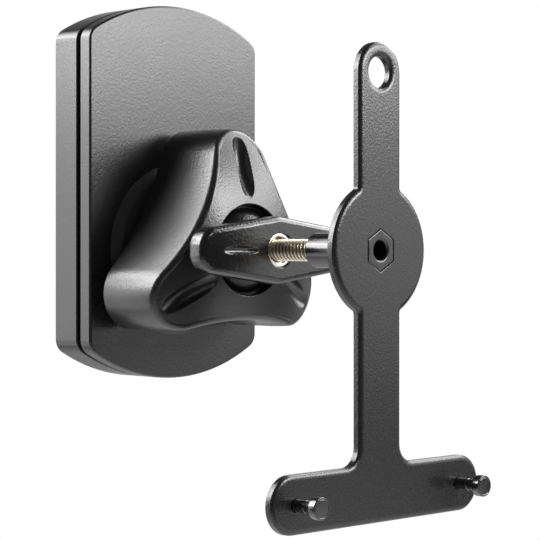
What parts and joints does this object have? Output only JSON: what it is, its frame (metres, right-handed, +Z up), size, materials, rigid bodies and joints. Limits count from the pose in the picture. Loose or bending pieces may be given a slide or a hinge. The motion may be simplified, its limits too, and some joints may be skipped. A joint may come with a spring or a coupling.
{
  "type": "speaker wall bracket",
  "caption": "Wall bracket for a loudspeaker: arched wall box, ball joint clamped by a lobed nut, threaded stud with a wing nut, and a flat T-shaped plate with keyhole pins.",
  "frame": {"origin": "on the wall face, at the middle of the four wall screw holes", "axes": "+Y into the wall, so the speaker plate faces -Y; +Z up; +X to the right as seen from the front"},
  "size_m": [0.1056, 0.139, 0.1878],
  "materials": {
    "black_plastic": "fine grained satin black",
    "black_seat": "smooth black",
    "powder_coat": "black powder coat with a fine orange peel",
    "cast_black": "black coated casting",
    "black_steel": "smooth blackened steel",
    "zinc_steel": "bright zinc plate",
    "yellow_zinc": "yellow passivated zinc plate"
  },
  "bodies": {
    "wall_box": {"wall_plate": "zinc_steel", "rear_housing": "black_plastic", "carrier_plate": "zinc_steel", "front_cover": "black_plastic", "housing_screws": "zinc_steel", "socket_screws": "zinc_steel", "lock_screw": "black_steel", "socket": "cast_black"},
    "clamp_ring": {"front_seat": "black_seat"},
    "clamp_nut": {"clamp_nut": "black_plastic"},
    "ball_seat": {"rear_seat": "black_seat"},
    "ball_stud": {"ball": "black_seat", "stud": "yellow_zinc"},
    "wing_nut": {"wing_nut": "black_plastic", "wing_nut_insert": "yellow_zinc"},
    "speaker_plate": {"standoff": "black_steel", "speaker_plate": "powder_coat", "keyhole_pin_left": "black_steel", "keyhole_pin_right": "black_steel"}
  },
  "joints": [
    {"name": "clamp_slide", "type": "slide", "parent": "wall_box", "child": "clamp_ring", "axis": [0, -1, 0], "range_m": [0, 0.001]},
    {"name": "clamp_turn", "type": "hinge", "parent": "clamp_ring", "child": "clamp_nut", "pos_m": [0, -0.045, -0.0222], "axis": [0, -1, 0], "range_deg": [0, 180]},
    {"name": "ball_swivel", "type": "hinge", "parent": "wall_box", "child": "ball_seat", "pos_m": [0, -0.0475, -0.0222], "axis": [0, -1, 0], "continuous": true},
    {"name": "ball_tilt", "type": "hinge", "parent": "ball_seat", "child": "ball_stud", "pos_m": [0, -0.0475, -0.0222], "axis": [1, 0, 0], "range_deg": [-15, 15]},
    {"name": "wing_nut_turn", "type": "hinge", "parent": "ball_stud", "child": "wing_nut", "pos_m": [0, -0.073, -0.0222], "axis": [0, -1, 0], "continuous": true},
    {"name": "plate_turn", "type": "hinge", "parent": "ball_stud", "child": "speaker_plate", "pos_m": [0, -0.1255, -0.0222], "axis": [0, -1, 0], "continuous": true}
  ],
  "couplings": [
    {"joint": "clamp_slide", "follows": "clamp_turn", "m_per_rad": 0.00031831}
  ]
}
